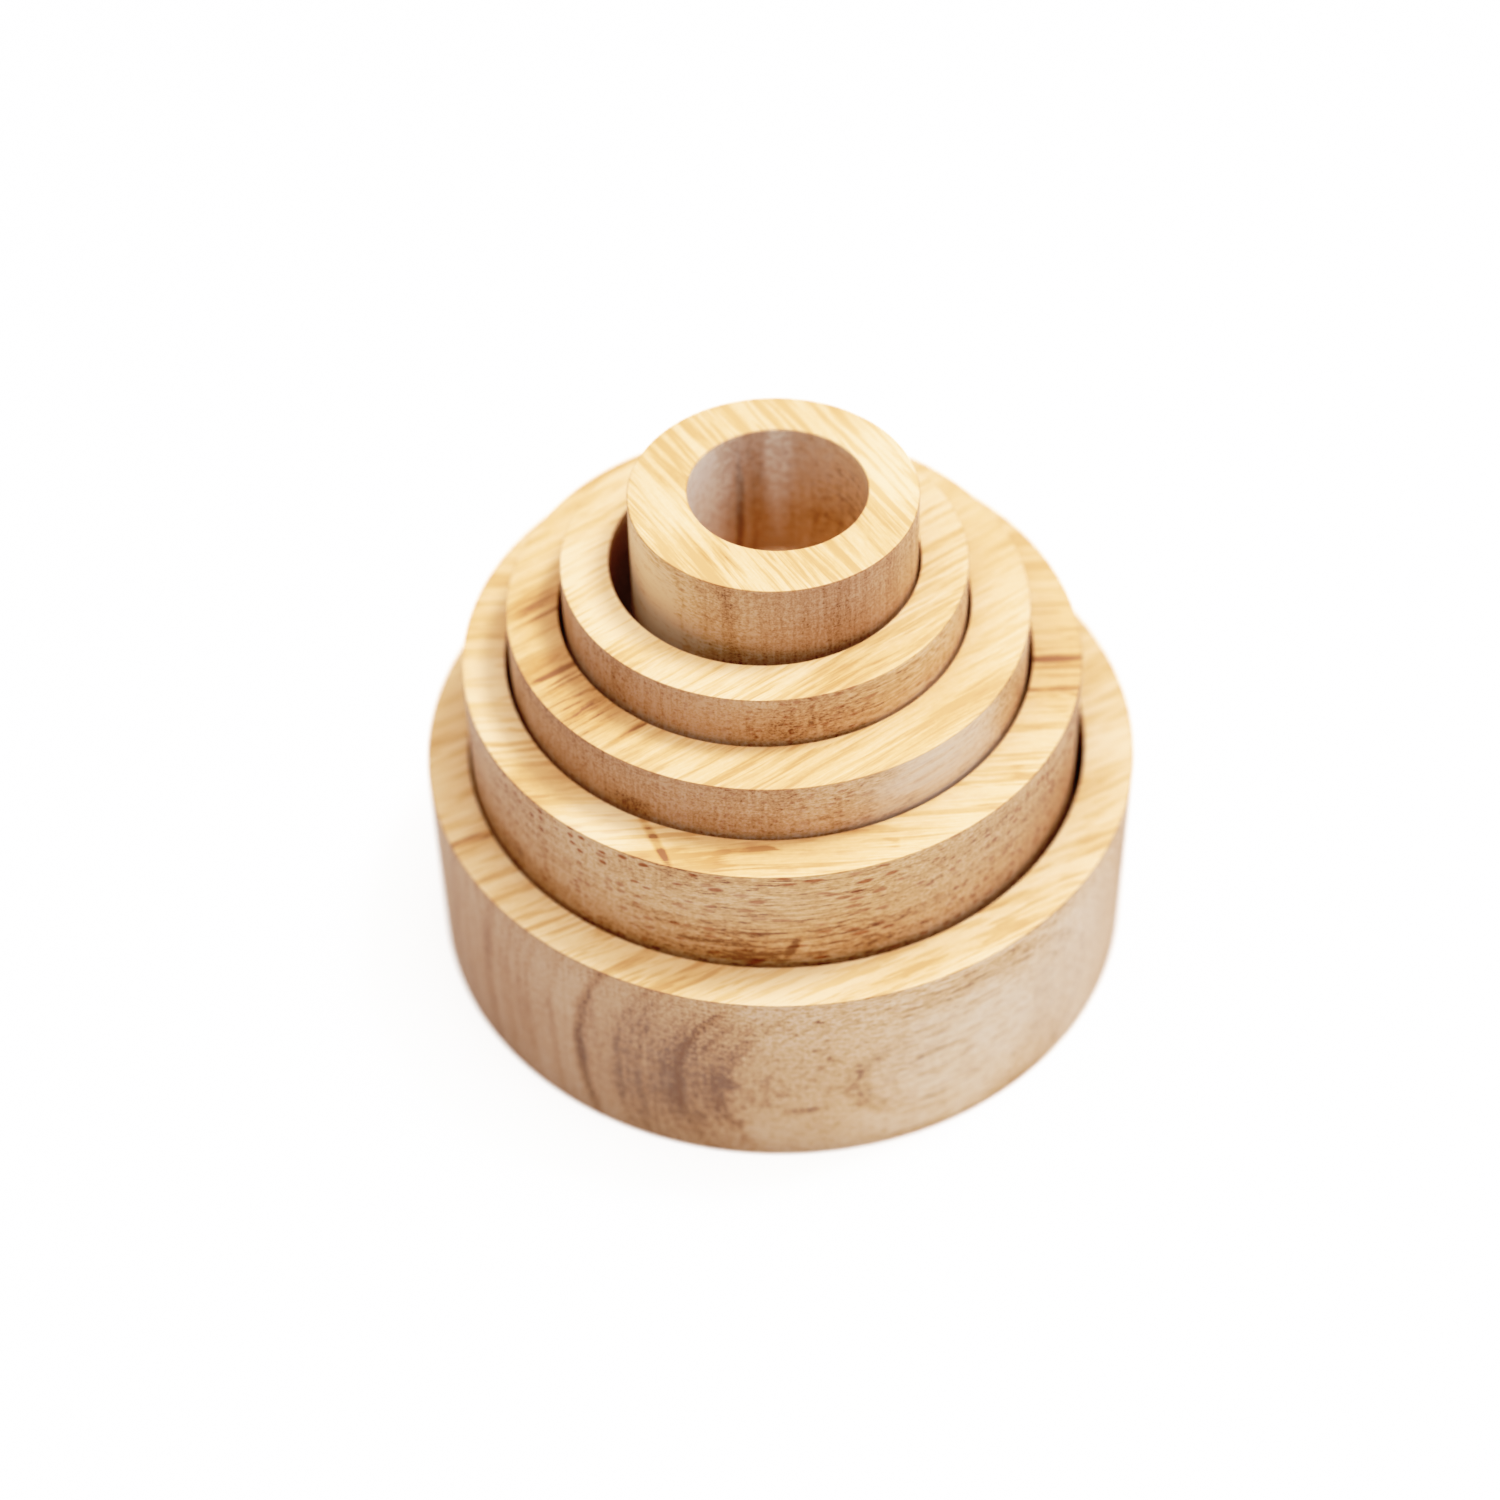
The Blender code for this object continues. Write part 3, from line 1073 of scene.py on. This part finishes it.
def studio():
    """A large soft light overhead, a window at the back right and two weak lights at the sides."""
    top = (0.0, 0.0, TOP_HEIGHT)
    softbox("top_softbox", top, (0.0, 0.0, 0.0), TOP_SIZE, TOP_POWER, TOP_COLOUR)
    window = around(KEY_HEADING, KEY_HEIGHT, KEY_DISTANCE)
    softbox("window_softbox", window, LIT_PLACE, KEY_SIZE, KEY_POWER, KEY_COLOUR)
    side = around(SIDE_HEADING, SIDE_HEIGHT, SIDE_DISTANCE)
    softbox("side_softbox", side, LIT_PLACE, SIDE_SIZE, SIDE_POWER, SIDE_COLOUR)
    left = around(LEFT_HEADING, LEFT_HEIGHT, LEFT_DISTANCE)
    softbox("left_softbox", left, LIT_PLACE, LEFT_SIZE, LEFT_POWER, LEFT_COLOUR)


def room():
    """A white room, which the camera sees brighter than it lights the cups."""
    world = bpy.data.worlds.new("white_room")
    world.use_nodes = True
    world.node_tree.nodes["Background"].inputs["Color"].default_value = (1.0, 1.0, 1.0, 1.0)
    tree = world.node_tree
    seen = tree.nodes.new("ShaderNodeLightPath")
    strength = tree.nodes.new("ShaderNodeMapRange")
    strength.inputs["To Min"].default_value = ROOM_LIGHT
    strength.inputs["To Max"].default_value = ROOM_SEEN
    tree.links.new(seen.outputs["Is Camera Ray"], strength.inputs["Value"])
    tree.links.new(strength.outputs[0], tree.nodes["Background"].inputs["Strength"])
    bpy.context.scene.world = world


def look():
    """The camera, above and in front, with the near rims in focus."""
    back = Vector((0.0, -math.cos(CAMERA_TILT), math.sin(CAMERA_TILT)))
    up_slope = Vector((0.0, math.sin(CAMERA_TILT), math.cos(CAMERA_TILT)))
    place = CAMERA_AIM + CAMERA_DISTANCE * back
    ahead = (Vector((CAMERA_YAW, 0.0, 0.0)) + CAMERA_PITCH * up_slope - back).normalized()
    right = ahead.cross(Vector((0.0, 0.0, 1.0))).normalized()
    up = right.cross(ahead)
    turn_right = math.cos(CAMERA_ROLL) * right + math.sin(CAMERA_ROLL) * up
    turn_up = math.cos(CAMERA_ROLL) * up - math.sin(CAMERA_ROLL) * right
    axes = Matrix((turn_right, turn_up, -ahead)).transposed()
    data = bpy.data.cameras.new("camera")
    data.sensor_width = SENSOR
    data.lens = LENS
    camera = bpy.data.objects.new("camera", data)
    camera.matrix_world = Matrix.Translation(place) @ axes.to_4x4()
    bpy.context.scene.collection.objects.link(camera)
    bpy.context.scene.camera = camera
    focus = bpy.data.objects.new("focus_point", None)
    focus.location = (0.0, 0.0, FOCUS_HEIGHT)
    bpy.context.scene.collection.objects.link(focus)
    data.dof.use_dof = True
    data.dof.focus_object = focus
    data.dof.aperture_fstop = F_STOP


def develop():
    """Plain display colours after the film's response."""
    settings = bpy.context.scene.view_settings
    settings.view_transform = "Standard"
    settings.use_curve_mapping = True
    mapping = settings.curve_mapping
    mapping.use_clip = False
    mapping.extend = "HORIZONTAL"
    # The curve runs from 0 to 1, so the light in is scaled to its brightest point.
    brightest = RESPONSE[-1][0]
    mapping.white_level = (brightest, brightest, brightest)
    curve = mapping.curves[3]
    curve.points[0].location = RESPONSE[0]
    curve.points[1].location = (1.0, RESPONSE[-1][1])
    for light_in, light_out in RESPONSE[1:-1]:
        curve.points.new(light_in / brightest, light_out)
    for point in curve.points:
        point.handle_type = "AUTO_CLAMPED"
    mapping.update()


for node_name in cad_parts:
    make_cup(node_name)
table()
studio()
room()
look()
develop()
